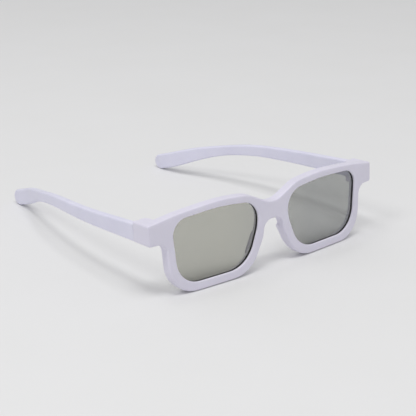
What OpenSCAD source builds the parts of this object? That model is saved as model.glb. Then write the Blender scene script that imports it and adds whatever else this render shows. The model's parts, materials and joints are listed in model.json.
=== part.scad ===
// Passive 3D viewing glasses with circular polarising lenses.
// One moulded front carries both lenses and folds two curved temples on steel pins.
// The model is laid out upright, with the rims' lower edge at z = 0 and the front
// face towards -Y, and is then tipped back until the temple tips reach the floor.

/* [Lenses] */
// Gap between the two lens openings over the nose
lens_gap = 18.8; // [17:0.2:21]
// Height of one lens opening
lens_h = 34.9; // [32:0.2:38]
// How far the outer side of an opening leans in towards its foot
lens_lean = 2.8; // [1.5:0.1:4]
// How far the nose corner of an opening is cut back along its lower edge
lens_nose_cut = 7.5; // [5:0.5:9]
// Height over which the nose corner is cut back
lens_nose_rise = 19; // [17:0.5:21]
// Fall of the opening's upper edge towards the nose
lens_fall_in = 2.1; // [1:0.1:3]
// Fall of the opening's upper edge towards the end piece
lens_fall_out = 1.8; // [1:0.1:3]
// Corner radius at the top, nose side
lens_r_top_in = 9.5; // [7:0.5:10]
// Corner radius at the top, outer side
lens_r_top_out = 8; // [6:0.5:9.5]
// Corner radius at the foot, outer side
lens_r_low_out = 13; // [10:0.5:14]
// Corner radius at the foot, nose side
lens_r_low_in = 15.5; // [10:0.5:16]
// Radius of the bend in the nose side
lens_r_nose = 20; // [14:1:24]
// Radius over the crown of a lens
lens_r_crown = 90; // [70:5:110]

/* [Rims] */
// Width over the two end pieces, which the lenses follow
frame_w = 145; // [138:0.5:152]
// Radius of the front's curve, seen from above
front_curve_r = 620; // [450:10:1000]
// Depth of the rims from front to back
rim_depth = 5; // [4.6:0.1:6]
// Width of the rim under a lens
rim_low = 4.2; // [3.6:0.1:5]
// Width of the rim over the crown of a lens
rim_top = 2.9; // [2.7:0.1:4]
// Width of the rim beside a lens
rim_side = 3.3; // [3:0.1:3.8]
// Radius of the rim's lower outer corner
rim_r_low_out = 15; // [13:0.5:16]
// Radius of the rim's lower nose corner
rim_r_low_in = 17; // [12:0.5:18]
// Radius over the crown of a rim
rim_r_crown = 100; // [80:5:120]
// Radius of the rounded edges round the front face
front_edge_r = 0.8; // [0.5:0.1:1]
// Radius of the rounded edges round the rear face
rear_edge_r = 0.5; // [0.3:0.1:0.6]
// Radius of the rounded edge of a lens opening
opening_edge_r = 0.5; // [0.3:0.1:0.8]

/* [Bridge] */
// Height of the bridge's upper edge at the middle
bridge_top = 34; // [32:0.25:35.5]
// Width of the flat in the middle of the bridge's upper edge
bridge_flat = 6; // [5:0.5:8]
// Width of the rim over the nose corner of a lens
brow_w = 3.2; // [2.8:0.1:3.8]
// How far the brow starts outboard of a lens's nose side
brow_out = 5.9; // [5:0.1:7]
// Radius where the brow meets the bridge's slope
brow_r = 20; // [15:1:24]
// Radius at the foot of that slope
bridge_r = 10; // [8:0.5:12]
// Height of the nose notch's roof
notch_h = 24.9; // [23:0.1:26.5]
// Width of the nose notch under its roof
notch_w = 11.2; // [10.5:0.1:12.5]
// Width between the feet of the nose notch
notch_foot = 30.4; // [28.5:0.2:31.5]
// Height of the notch's shoulder, where its sides steepen
notch_shoulder_h = 17.2; // [15:0.2:18]
// How far the shoulder lies outboard of the roof's corner
notch_shoulder_out = 1; // [0.6:0.1:1.4]
// Radius of the shoulder
notch_shoulder_r = 12; // [9:0.5:14]
// Length of a moulded nose pad along the notch's side
pad_l = 13; // [9:0.5:14]
// Thickness of a moulded nose pad
pad_t = 2.6; // [2:0.1:3.2]
// How far a nose pad stands out behind the rim
pad_out = 2.5; // [1.5:0.1:4]
// How far a nose pad tapers in at each end
pad_taper = 1.6; // [1:0.1:2.2]

/* [Lens seats] */
// Depth of the lens behind the front face
lens_inset = 1.1; // [0.8:0.1:1.5]
// Width of the ledge that the lens rests on
seat_ledge = 1.1; // [0.9:0.1:1.3]
// Width of the wider pocket that the retainer's flange fills
flange_w = 1.8; // [1.6:0.1:2]
// Depth of the retainer's flange
flange_t = 1.6; // [1.3:0.1:1.9]
// Thickness of the retarder film
retarder_t = 0.25; // [0.2:0.05:0.3]
// Thickness of the polariser film
polariser_t = 0.2; // [0.15:0.05:0.3]
// Thickness of the backing sheet
backing_t = 0.4; // [0.3:0.05:0.5]
// Gap round the edge of a lens or a retainer in its pocket
edge_gap = 0.15; // [0.1:0.05:0.2]
// Length of a snap tab on a retainer
tab_l = 5; // [4:0.5:7]
// How far a snap tab reaches into the rim
tab_reach = 0.35; // [0.25:0.05:0.45]
// Thickness of a snap tab
tab_t = 0.7; // [0.5:0.1:0.8]

/* [End pieces and hinges] */
// How far an end piece stands out beyond the side of its rim
lug_out = 9.2; // [9:0.1:10]
// Height of the end piece's upper outer corner
lug_top = 37.3; // [36.8:0.1:38]
// Height of an end piece
lug_h = 10.3; // [9.6:0.1:11]
// Rear face of an end piece, measured from the front's middle
lug_back = 15.9; // [15:0.1:18]
// Radius of the inner corner under an end piece
lug_fillet = 5; // [3:0.5:5]
// Radius of an end piece's outer corners, seen from the front
lug_corner_r = 1.2; // [1:0.1:1.6]
// Distance of the hinge axis from the temple's outer face
pin_in = 5; // [4.9:0.1:5.6]
// Distance of the hinge axis ahead of the end piece's rear face
pin_ahead = 2.7; // [2.5:0.1:3.2]
// Radius of a hinge pin
pin_r = 0.75; // [0.6:0.05:0.9]
// Radial clearance of the temple's bore on its pin
pin_play = 0.05; // [0.03:0.01:0.08]
// Radius of the ears round the pin
ear_r = 2.9; // [2.7:0.1:3]
// Height of the temple's knuckle between the ears
knuckle_h = 4.6; // [4:0.1:5.2]
// Radius of the temple's knuckle
knuckle_r = 2.6; // [2.4:0.1:2.7]
// Gap above and below the knuckle
knuckle_gap = 0.15; // [0.1:0.05:0.25]
// Gap round the knuckle in its slot
slot_gap = 0.4; // [0.35:0.05:0.6]
// Plastic left over the blind end of a pin
pin_cap = 1.2; // [0.8:0.1:1.6]
// Depth of a pin's lower end inside its bore
pin_sink = 0.3; // [0.2:0.1:0.6]

/* [Temples] */
// Gap between a temple and its end piece at the seam
seam_gap = 0.2; // [0.15:0.05:0.3]
// Thickness of a temple
temple_t = 3.5; // [3.2:0.1:3.6]
// Height of a temple at its root
temple_h = 9.1; // [8.6:0.1:9.4]
// Drop of the temple's upper edge below the end piece's
temple_step = 1.1; // [0.8:0.05:1.3]
// Height of a temple at its waist
waist_h = 5.8; // [5.4:0.1:7]
// Distance of the waist from the front
waist_at = 108; // [90:1:114]
// Height of a temple's tip
tip_h = 9; // [8.4:0.1:9.8]
// Distance of the tip's widest place from its end
tip_back = 15; // [10:0.5:20]
// Reach of the temples behind the front's middle
temple_reach = 163.5; // [155:0.5:172]
// Fall of a temple's centre line before its bend, in degrees
temple_fall = 1.7; // [1:0.1:2.4]
// Place where a temple starts to bend down behind the ear
drop_from = 78; // [70:1:86]
// Radius of the downward bend
drop_r = 208; // [190:2:240]
// Place where the downward bend starts to straighten again
drop_until = 140; // [130:1:150]
// Radius of that straightening
drop_back_r = 210; // [150:5:400]
// Place where a temple starts to curve in
curve_from = 42; // [34:1:50]
// Radius of the inward curve
curve_r = 280; // [250:2:340]
// Place where the inward curve starts to straighten again
curve_until = 136; // [126:1:144]
// Radius of that straightening
curve_back_r = 75; // [70:1:120]
// Radius of the rounded edges of a temple
temple_edge_r = 1.1; // [0.8:0.1:1.4]

/* [Hidden] */
arc_step = 11;
tiny = 0.01;

half_w = frame_w / 2;
rim_out = half_w - lug_out;
lens_in = lens_gap / 2;
lens_out = rim_out - rim_side;
lens_w = lens_out - lens_in;
lens_low = rim_low;
lens_high = lens_low + lens_h;
lug_low = lug_top - lug_h;
rim_high = lens_high + rim_top;
// The rim is a little wider at its foot, where it turns under the lens
rim_foot = lens_out - lens_lean + rim_side + 0.9;
// Place of the highest point along a lens opening and along its rim
lens_crown = lens_in + lens_w * 0.47;
rim_crown = lens_in + lens_w * 0.41;
brow_drop = 1.9;
brow_end = 4;

function unit(v) = v / norm(v);
function turned(v, a) = [v.x * cos(a) - v.y * sin(a), v.x * sin(a) + v.y * cos(a)];

// One rounded corner of a clockwise outline: an arc of radius r that touches both
// sides. Drawn in by d it keeps its middle, so every d gives the same number of points.
function corner(a, c, b, r, d) =
  let (p = unit(a - c), q = unit(b - c), turn = 180 - acos(p * q), half = (180 - turn) / 2,
    middle = c + unit(p + q) * r / sin(half),
    start = c + p * r / tan(half) - middle,
    side = sign(p.x * q.y - p.y * q.x),
    steps = max(2, ceil(turn / arc_step)))
  [for (k = [0:steps]) middle + turned(start, -side * turn * k / steps) * (1 - side * d / r)];

// An outline from corners [x, y, radius], each rounded by its own radius, drawn in by d.
// Where a side is too short for the arcs at its two ends, both are made smaller to fit it.
function rounded(c, d = 0) =
  let (n = len(c), at = function (i) [c[i % n].x, c[i % n].y],
    room = [for (i = [0:n - 1]) norm(at(i + 1) - at(i))],
    taken = [for (i = [0:n - 1]) let (p = unit(at(i + n - 1) - at(i)), q = unit(at(i + 1) - at(i)))
      c[i][2] / tan(acos(p * q) / 2)],
    share = [for (i = [0:n - 1]) min(1, 0.98 * room[i] / (taken[i] + taken[(i + 1) % n]))])
  [for (i = [0:n - 1])
    each corner(at(i + n - 1), at(i), at(i + 1), c[i][2] * min(share[i], share[(i + n - 1) % n]), d)];

function mirrored(c) = [for (i = [len(c) - 1:-1:0]) [-c[i].x, c[i].y, c[i][2]]];

opening = [
  [lens_in, lens_high - lens_fall_in, lens_r_top_in],
  [lens_crown, lens_high, lens_r_crown],
  [lens_out, lens_high - lens_fall_out, lens_r_top_out],
  [lens_out - lens_lean, lens_low, lens_r_low_out],
  [lens_in + lens_nose_cut, lens_low, lens_r_low_in],
  [lens_in + 0.4, lens_low + lens_nose_rise, lens_r_nose]];

half_outline = [
  [bridge_flat / 2, bridge_top, bridge_r],
  [lens_in + brow_out, lens_high - lens_fall_in + brow_w, brow_r],
  [rim_crown, rim_high + 0.1, rim_r_crown],
  [lens_out - brow_end, rim_high - brow_drop, rim_r_crown],
  [half_w, lug_top, lug_corner_r],
  [half_w, lug_low, lug_corner_r],
  [rim_out - 0.1, lug_low, lug_fillet],
  [rim_foot, 0, rim_r_low_out],
  [notch_foot / 2, 0, rim_r_low_in],
  [notch_w / 2 + notch_shoulder_out, notch_shoulder_h, notch_shoulder_r],
  [notch_w / 2, notch_h, notch_w * 0.48]];
outline = concat(half_outline, mirrored(half_outline));

// Depth of the curved front face behind its middle, at a distance x from the middle
function sag(x) = front_curve_r - sqrt(front_curve_r * front_curve_r - x * x);

// All that is cut from the front's curve lies between the planes y = -clear and past_front
clear = 2;
past_front = sag(half_w) + rim_depth + clear;

lens_back = lens_inset + retarder_t + polariser_t + backing_t;
flange_front = rim_depth - flange_t;

pin_x = half_w - 0.1 - pin_in;
pin_y = lug_back - pin_ahead;
knuckle_mid = (lug_top + lug_low) / 2;
slot_h = knuckle_h + 2 * knuckle_gap;
root_y = lug_back + seam_gap;
root_mid = lug_top - temple_step - temple_h / 2;
temple_inner = half_w - 0.1 - temple_t;

// Centre line of the left temple at a distance y from the front, and its height there
// A bend turns by radius r between two places and then back by another radius
function bend_sine(y, from, until, r, back_r) =
  max(0, min(y, until) - from) / r - max(0, y - until) / back_r;
function bend(y, from, until, r, back_r) =
  let (a = asin(bend_sine(min(y, until), from, until, r, back_r)),
    b = asin(bend_sine(y, from, until, r, back_r)))
  r * (1 - cos(a)) + back_r * (cos(b) - cos(a));
function centre_x(y) = half_w - 0.1 - temple_t / 2
  - bend(y, curve_from, curve_until, curve_r, curve_back_r);
function centre_z(y) = root_mid - (y - root_y) * tan(temple_fall)
  - bend(y, drop_from, drop_until, drop_r, drop_back_r);
function swing(y) = asin(bend_sine(y, curve_from, curve_until, curve_r, curve_back_r));
function dive(y) = temple_fall + asin(bend_sine(y, drop_from, drop_until, drop_r, drop_back_r));
function ease(t) = t * t * (3 - 2 * t);
tip_y = temple_reach - tip_back;
function full_h(y) = y < waist_at
  ? let (t = (y - root_y) / (waist_at - root_y)) temple_h + (waist_h - temple_h) * t * (1.25 - t / 4)
  : waist_h + (tip_h - waist_h) * ease(min(1, (y - waist_at) / (tip_y - waist_at)));
tip_round = tip_h * 0.65;
function end_share(y) = let (d = max(0, y - (temple_reach - tip_round)) / tip_round)
  sqrt(max(0.02, 1 - d * d));
body_steps = 40;
end_steps = 8;
stations = concat(
  [for (k = [0:body_steps]) root_y + (temple_reach - tip_round - root_y) * k / body_steps],
  [for (k = [1:end_steps]) temple_reach - tip_round + tip_round * sin(90 * k / end_steps)]);

// Rounded rectangle across the temple, as [sideways, upwards] from the centre line
function section(w, h) = let (r = min(temple_edge_r, h * 0.3, w * 0.45))
  [for (q = [[1, 1, 0], [-1, 1, 90], [-1, -1, 180], [1, -1, 270]], k = [0:4])
    [q[0] * (w / 2 - r) + r * cos(q[2] + 22.5 * k), q[1] * (h / 2 - r) + r * sin(q[2] + 22.5 * k)]];

function ring(y) = let (s = end_share(y), c = [centre_x(y), y, centre_z(y)],
    across = [cos(swing(y)), sin(swing(y)), 0], up = [0, sin(dive(y)), cos(dive(y))])
  [for (p = section(temple_t * (0.45 + 0.55 * s), full_h(y) * s)) c + across * p.x + up * p.y];

rings = [for (y = stations) ring(y)];

// Tilt at which the rims' lower rear edge and the temple tips both touch the floor
foot_x = rim_foot - rim_r_low_out;
foot_y = sag(foot_x) + rim_depth - rear_edge_r;
stand_tilt = min([for (r = rings, p = r) if (p.y > drop_from) atan2(p.z, p.y - foot_y)]);
stand_lift = foot_y * sin(stand_tilt);
front_most = min([for (p = rounded(outline, front_edge_r))
  sag(p.x) * cos(stand_tilt) + p.y * sin(stand_tilt)]);
rear_most = max([for (r = rings, p = r) p.y * cos(stand_tilt) + p.z * sin(stand_tilt)]);

module stand() {
  translate([0, -(front_most + rear_most) / 2, stand_lift]) rotate([-stand_tilt, 0, 0]) children();
}

module on_side(s) {
  if (s > 0) children(); else mirror([1, 0, 0]) children();
}

// Solid of the front's curve: all that lies more than d behind the front face
module behind(d) {
  translate([0, front_curve_r, -1]) cylinder(r = front_curve_r - d, h = rim_high + 2, $fn = 360);
}

// A curved plate between the depths d0 and d1 under the children's outline
module curved_plate(d0, d1) {
  intersection() {
    translate([0, past_front, 0]) rotate([90, 0, 0]) linear_extrude(past_front + clear) children();
    difference() { behind(d0); behind(d1); }
  }
}

// Depths behind the front face, each with how far a rounded edge is drawn in there.
// A rounded edge starts a little outside its face, so that the face cuts it cleanly.
edge_steps = 3;
edge_over = 0.05;
function edge(r, a) = [r * (1 - cos(a)) - (a == 0 ? edge_over : 0), r * (1 - sin(a))];
function front_edge(r) = [for (k = [0:edge_steps]) edge(r, 90 * k / edge_steps)];
function rear_edge(r) = [for (k = [edge_steps:-1:0])
  let (e = edge(r, 90 * k / edge_steps)) [rim_depth - e[0], e[1]]];

// Solid under an outline, drawn in as the steps say, from one flat end to the other
module edged_prism(corners, steps) {
  last = len(steps) - 1;
  loft([for (k = [-1:last + 1])
    let (s = steps[max(0, min(last, k))], points = rounded(corners, s[1]))
    [for (i = [len(points) - 1:-1:0]) let (p = points[i])
      [p.x, k < 0 ? -clear : k > last ? past_front : sag(p.x) + s[0], p.y]]]);
}

// Closed solid through rings of points, flat at its first and last ring
module loft(rings) {
  n = len(rings);
  m = len(rings[0]);
  sides = [for (i = [0:n - 2], j = [0:m - 1])
    let (a = i * m + j, b = i * m + (j + 1) % m) each [[a, b, a + m], [b, b + m, a + m]]];
  first = [[for (j = [m - 1:-1:0]) j]];
  last = [[for (j = [0:m - 1]) (n - 1) * m + j]];
  polyhedron([for (r = rings) each r], concat(sides, first, last));
}

module opening_grown(g) { polygon(rounded(opening, -g)); }

// End piece seen from above, with the rounded ear at its inner rear corner
module lug_plan() {
  polygon([[half_w, 0], [half_w, lug_back], [pin_x + knuckle_r + slot_gap, lug_back],
    [pin_x + knuckle_r, pin_y], [pin_x, pin_y - ear_r / 2], [pin_x - ear_r, pin_y],
    [pin_x - ear_r, 0]]);
  translate([pin_x, pin_y]) circle(r = ear_r, $fn = 64);
}

// The end piece starts behind the rounded edge of the front face
module lug() {
  slot_r = knuckle_r + slot_gap;
  difference() {
    intersection() {
      translate([0, 0, lug_low]) linear_extrude(lug_h) lug_plan();
      translate([0, lug_back, 0]) rotate([90, 0, 0]) linear_extrude(lug_back) polygon(rounded(outline));
      behind(front_edge_r);
    }
    // slot that the knuckle turns in, open inboard and to the rear
    translate([0, 0, knuckle_mid - slot_h / 2]) {
      translate([pin_x, pin_y, 0]) cylinder(r = slot_r, h = slot_h, $fn = 96);
      translate([pin_x - lug_back, pin_y, 0]) cube([lug_back + slot_r, lug_back, slot_h]);
      translate([pin_x - lug_back, pin_y - slot_r, 0]) cube([lug_back, lug_back, slot_h]);
    }
    translate([pin_x, pin_y, lug_low - 1])
      cylinder(r = pin_r, h = lug_h - pin_cap + 1, $fn = 64);
  }
}

// Nose pad: a rounded bar along the notch's side that stands out behind the rim
module nose_pad() {
  low = [notch_foot / 2, 0];
  high = [notch_w / 2 + notch_shoulder_out, notch_shoulder_h];
  along = unit(high - low);
  out = [along.y, -along.x];
  y0 = sag(lens_in) + rim_depth;
  last = high + along * pad_t / 2;
  // four balls: one at each end in the rim, and one at each end of the pad's crest
  hull() {
    for (end = [0, 1], crest = [0, 1]) {
      inset = crest * pad_taper;
      r = pad_t / 2 - crest * 0.3;
      at = last - along * (end == 0 ? inset : pad_l - inset) + out * (pad_t / 2 + crest * 0.4);
      depth = crest ? pad_out - r : -1;
      translate([at.x, y0 + depth, at.y]) sphere(r = r, $fn = 24);
    }
  }
}

module front_shell() {
  intersection() {
    edged_prism(outline, concat(front_edge(front_edge_r), rear_edge(rear_edge_r)));
    difference() { behind(0); behind(rim_depth); }
  }
}

// Opening and stepped seat of one lens, with the pockets for its retainer's tabs
module lens_seat() {
  edged_prism(opening, [for (e = front_edge(opening_edge_r)) [e[0], -e[1]]]);
  curved_plate(lens_inset, rim_depth + clear) opening_grown(seat_ledge);
  curved_plate(flange_front, rim_depth + clear) opening_grown(flange_w);
  snap_tabs(edge_gap);
}

// Four tabs on a lens retainer, or with a gap the pockets that they snap into
module snap_tabs(gap) {
  reach = flange_w - edge_gap + tab_reach + gap;
  for (x = [lens_in + lens_w * 0.34, lens_in + lens_w * 0.66], up = [0, 1]) {
    depth = sag(x) + flange_front + 0.5;
    base = up ? lens_high - 1.6 : lens_low - reach;
    top = up ? lens_high - 0.35 + reach : lens_low + 0.3;
    translate([x - tab_l / 2 - gap, depth - gap, base])
      cube([tab_l + 2 * gap, tab_t + 2 * gap, top - base]);
  }
}

module front_frame() {
  color("gainsboro") stand() difference() {
    union() {
      front_shell();
      for (s = [1, -1]) on_side(s) {
        lug();
        nose_pad();
      }
    }
    for (s = [1, -1]) on_side(s) lens_seat();
  }
}

module lens_retainer(s) {
  color("silver") stand() on_side(s) difference() {
    union() {
      curved_plate(lens_back, flange_front + tiny) opening_grown(seat_ledge - edge_gap);
      curved_plate(flange_front, rim_depth) opening_grown(flange_w - edge_gap);
      snap_tabs(0);
    }
    curved_plate(lens_back - clear, rim_depth + clear) opening_grown(0);
  }
}

// One layer of a lens: it fills the seat from one depth to the next
module film(s, from, thick) {
  stand() on_side(s) curved_plate(from, from + thick) opening_grown(seat_ledge - edge_gap);
}

module retarder_film(s) { color("lightgrey") film(s, lens_inset, retarder_t); }
module polariser_film(s) { color("dimgrey") film(s, lens_inset + retarder_t, polariser_t); }
module backing_sheet(s) {
  color("grey") film(s, lens_inset + retarder_t + polariser_t, backing_t);
}

module temple(s) {
  color("whitesmoke") stand() on_side(s) difference() {
    union() {
      loft(rings);
      translate([0, 0, knuckle_mid - knuckle_h / 2]) {
        translate([pin_x, pin_y, 0]) cylinder(r = knuckle_r, h = knuckle_h, $fn = 96);
        translate([pin_x - 0.5, pin_y, 0]) cube([knuckle_r + 0.5, root_y - pin_y + 3, knuckle_h]);
        translate([pin_x - 0.5, root_y, 0])
          linear_extrude(knuckle_h) polygon([[0, 0], [temple_inner - pin_x + 1.5, 0],
            [temple_inner - pin_x + 1.5, 8], [temple_inner - pin_x + 0.4, 8]]);
      }
    }
    translate([pin_x, pin_y, knuckle_mid - knuckle_h]) cylinder(r = pin_r + pin_play, h = 2 * knuckle_h, $fn = 64);
  }
}

module hinge_pin(s) {
  color("darkgrey") stand() on_side(s)
    translate([pin_x, pin_y, lug_low + pin_sink])
      cylinder(r = pin_r, h = lug_h - pin_cap - pin_sink, $fn = 64);
}

front_frame();
lens_retainer(1);  // left_lens_retainer
lens_retainer(-1);  // right_lens_retainer
retarder_film(1);  // left_retarder_film
retarder_film(-1);  // right_retarder_film
polariser_film(1);  // left_polariser_film
polariser_film(-1);  // right_polariser_film
backing_sheet(1);  // left_backing_sheet
backing_sheet(-1);  // right_backing_sheet
temple(1);  // left_temple
temple(-1);  // right_temple
hinge_pin(1);  // left_hinge_pin
hinge_pin(-1);  // right_hinge_pin
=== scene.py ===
# Passive 3D viewing glasses, open on a pale floor, dressed for the photograph's view.
# All shapes are laid out upright in millimetres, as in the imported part, and then stood on the floor.
import bmesh
import bpy
import json
import math
from mathutils import Matrix, Vector
from mathutils.geometry import delaunay_2d_cdt


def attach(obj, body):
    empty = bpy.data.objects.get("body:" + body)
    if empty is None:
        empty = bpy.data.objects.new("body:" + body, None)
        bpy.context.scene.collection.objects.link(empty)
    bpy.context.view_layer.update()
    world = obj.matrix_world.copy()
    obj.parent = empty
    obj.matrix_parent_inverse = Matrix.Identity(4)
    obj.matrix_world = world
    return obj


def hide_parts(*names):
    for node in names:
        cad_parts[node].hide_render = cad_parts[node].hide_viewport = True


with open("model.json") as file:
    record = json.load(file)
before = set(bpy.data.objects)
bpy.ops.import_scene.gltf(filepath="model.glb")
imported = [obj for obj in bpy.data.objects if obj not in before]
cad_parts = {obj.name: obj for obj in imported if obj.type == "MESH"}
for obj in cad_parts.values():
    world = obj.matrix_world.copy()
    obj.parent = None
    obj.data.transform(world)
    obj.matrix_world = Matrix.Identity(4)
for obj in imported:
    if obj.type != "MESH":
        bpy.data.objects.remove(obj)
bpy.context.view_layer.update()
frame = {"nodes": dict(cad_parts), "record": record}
print("frame loaded:", len(frame["nodes"]), "nodes")

mm = 0.001
sides = {"left": 1, "right": -1}  # the wearer's left is +X

# The part as a whole: what the pieces share
front = {
    "halfWidth": 72.5,
    "curveRadius": 620,  # of the front face, seen from above
    "depth": 5.0,
    "edgeFront": 0.85,  # rounded edge round the front face
    "edgeRear": 0.5,
    "edgeOpening": 0.5,
    "lensInset": 1.1,
    "ledge": 1.1,  # step that the lens rests on
    "flange": 1.8,  # wider pocket behind it
    "flangeFront": 3.4,
    "edgeGap": 0.15,
    "arcStep": 5,  # degrees
    "spacing": 1.8,  # of points along straight stretches and across flat faces
}
pin = {"x": 67.4, "y": 13.2, "z": 32.15, "radius": 0.75, "play": 0.05, "low": 27.3, "high": 36.1}
lens = {"in": 9.4, "out": 60.0, "low": 4.2, "high": 38.5}
sharpAngle = 32  # degrees; flatter folds than this are shaded smooth

openingCorners = [  # x, z and radius of each corner of a lens opening
    (lens["in"], lens["high"] - 2.5, 10),
    (lens["in"] + 23.8, lens["high"], 90),
    (lens["out"], lens["high"] - 1.8, 8),
    (lens["out"] - 2.8, lens["low"], 13),
    (lens["in"] + 7.5, lens["low"], 15.5),
    (lens["in"] + 0.4, lens["low"] + 19, 20),
]
halfOutline = [  # the same for the outer edge, from the bridge round to the nose notch
    (3, 34, 10),
    (15.3, 40.2, 20),
    (30.15, 42.1, 100),
    (56, 40.1, 100),
    (front["halfWidth"], 37.3, 1.2),
    (front["halfWidth"], 27.0, 1.2),
    (63.2, 27.0, 5),
    (61.4, 0, 15),
    (15.2, 0, 17),
    (6.6, 17.2, 12),
    (5.6, 24.9, 5.376),
]
outlineCorners = halfOutline + [(-x, z, r) for x, z, r in reversed(halfOutline)]

# The hinge's place and axis give the tilt at which the glasses stand
leftJoint = frame["record"]["behaviour"]["joints"][0]
tilt = math.atan2(leftJoint["axis"][1], leftJoint["axis"][2])
turnBack = Matrix.Rotation(-tilt, 4, "X")
pinUpright = Vector((pin["x"], pin["y"], pin["z"])) * mm
stand = Matrix.Translation(Vector(leftJoint["pos_m"]) - turnBack @ pinUpright) @ turnBack


def sag(x):
    return front["curveRadius"] - math.sqrt(front["curveRadius"] ** 2 - x * x)


# Points of a rounded outline; every inset gives the same number of points
def loopPoints(corners, inset=0.0):
    arcs = []
    count = len(corners)
    for i in range(count):
        before, corner, after = (Vector(corners[j % count][:2]) for j in (i - 1, i, i + 1))
        radius = corners[i][2]
        toBefore = (before - corner).normalized()
        toAfter = (after - corner).normalized()
        turn = math.pi - toBefore.angle(toAfter)
        half = (math.pi - turn) / 2
        middle = corner + (toBefore + toAfter).normalized() * radius / math.sin(half)
        spoke = corner + toBefore * radius / math.tan(half) - middle
        bend = 1 if toBefore.x * toAfter.y > toBefore.y * toAfter.x else -1
        steps = max(2, math.ceil(math.degrees(turn) / front["arcStep"]))
        arcs.append([
            (middle, Matrix.Rotation(-bend * turn * k / steps, 2) @ spoke, bend * inset / radius)
            for k in range(steps + 1)
        ])
    points = []
    for arc, following in zip(arcs, arcs[1:] + arcs[:1]):
        points += [middle + spoke * (1 - share) for middle, spoke, share in arc]
        startAt = arc[-1][0] + arc[-1][1]
        endAt = following[0][0] + following[0][1]
        extra = int((endAt - startAt).length / front["spacing"])
        first = points[-1].copy()
        last = following[0][0] + following[0][1] * (1 - following[0][2])
        points += [first.lerp(last, (k + 1) / (extra + 1)) for k in range(extra)]
    return points


def isInside(point, loop):
    inside = False
    for a, b in zip(loop, loop[1:] + loop[:1]):
        if (a.y > point.y) != (b.y > point.y):
            if point.x < a.x + (b.x - a.x) * (point.y - a.y) / (b.y - a.y):
                inside = not inside
    return inside


# Even triangles between an outer loop and its holes, as extra points and faces by index
def fillBetween(outer, holes, spacing):
    loops = [outer] + holes
    points = [p for loop in loops for p in loop]
    edges = []
    for loop in loops:
        start = len(edges)
        edges += [(start + k, start + (k + 1) % len(loop)) for k in range(len(loop))]
    low = Vector((min(p.x for p in outer), min(p.y for p in outer)))
    high = Vector((max(p.x for p in outer), max(p.y for p in outer)))
    clearOfEdges = spacing * 0.55
    rowStep = spacing * 0.866  # height of an even-sided triangle
    extra = []
    row = 0
    z = low.y + spacing / 2
    while z < high.y:
        x = low.x + spacing * (0.5 if row % 2 else 1.0)
        while x < high.x:
            spot = Vector((x, z))
            isFree = isInside(spot, outer) and not any(isInside(spot, hole) for hole in holes)
            if isFree and min((p - spot).length for p in points) > clearOfEdges:
                extra.append(spot)
            x += spacing
        z += rowStep
        row += 1
    found = delaunay_2d_cdt(points + extra, edges, [], 0, 1e-6)
    spots, triangles, sources = found[0], found[2], found[3]
    faces = []
    for triangle in triangles:
        a, b, c = (spots[i] for i in triangle)
        centre = (a + b + c) / 3
        longest = max((b - a).length, (c - b).length, (a - c).length)
        isFlat = abs((b - a).cross(c - a)) < 1e-4 * longest ** 2  # three points on one straight edge
        if isFlat or not isInside(centre, outer) or any(isInside(centre, hole) for hole in holes):
            continue
        faces.append([sources[i][0] for i in triangle])
    return extra, faces


# Closed plate that follows the front's curve: each wall is a list of (depth, loop) from
# the front face to the rear face, the first wall outside and the others round the openings
def curvedPlate(name, walls):
    made = bmesh.new()

    def addPoint(depth, spot):
        return made.verts.new((spot.x, sag(spot.x) + depth, spot.y))

    rings = [[[addPoint(depth, p) for p in loop] for depth, loop in wall] for wall in walls]
    for wall in rings:
        for ring, following in zip(wall, wall[1:]):
            for k in range(len(ring)):
                j = (k + 1) % len(ring)
                made.faces.new((ring[k], ring[j], following[j], following[k]))
    for end in (0, -1):
        depth = walls[0][end][0]
        loops = [wall[end][1] for wall in walls]
        extra, faces = fillBetween(loops[0], loops[1:], front["spacing"])
        rim = [v for wall in rings for v in wall[end]]
        rim += [addPoint(depth, p) for p in extra]
        for face in faces:
            made.faces.new([rim[i] for i in face])
    bmesh.ops.recalc_face_normals(made, faces=made.faces)
    return meshPiece(name, made)


# Quarter round of an edge as (depth, inset) from its face to its wall
def quarterRound(radius, steps=6):
    angles = [math.pi / 2 * k / steps for k in range(steps + 1)]
    return [(radius * (1 - math.cos(a)), radius * (1 - math.sin(a))) for a in angles]


def meshPiece(name, made):
    mesh = bpy.data.meshes.new(name)
    made.to_mesh(mesh)
    made.free()
    piece = bpy.data.objects.new(name, mesh)
    bpy.context.scene.collection.objects.link(piece)
    return piece


# Replaces a piece's mesh with what its modifiers make of it
def applyModifiers(piece):
    graph = bpy.context.evaluated_depsgraph_get()
    mesh = bpy.data.meshes.new_from_object(piece.evaluated_get(graph), depsgraph=graph)
    piece.modifiers.clear()
    piece.data = mesh


# Joins or cuts a piece with others, which are used up
def combine(piece, others, operation):
    for other in others:
        modifier = piece.modifiers.new("combine", "BOOLEAN")
        modifier.operation = operation
        modifier.solver = "MANIFOLD"
        modifier.object = other
        applyModifiers(piece)
        bpy.data.objects.remove(other)
    return piece


# Merges doubled points, less than the given distance in millimetres apart, and turns faces out
def faceOutwards(piece, distance=1e-4):
    made = bmesh.new()
    made.from_mesh(piece.data)
    bmesh.ops.remove_doubles(made, verts=made.verts, dist=distance)
    bmesh.ops.recalc_face_normals(made, faces=made.faces)
    made.to_mesh(piece.data)
    made.free()


# Turns what was laid out for the wearer's left into the piece for the right
def mirrorOver(piece):
    piece.data.transform(Matrix.Scale(-1, 4, (1, 0, 0)))
    piece.data.flip_normals()
    return piece


# Prism over a plan of (x, y) points between two heights
def prism(name, plan, low, high):
    made = bmesh.new()
    floor = [made.verts.new((x, y, low)) for x, y in plan]
    made.faces.new(floor)
    body = bmesh.ops.extrude_face_region(made, geom=made.faces[:])
    raised = [v for v in body["geom"] if isinstance(v, bmesh.types.BMVert)]
    bmesh.ops.translate(made, verts=raised, vec=(0, 0, high - low))
    bmesh.ops.recalc_face_normals(made, faces=made.faces)
    return meshPiece(name, made)


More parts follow.
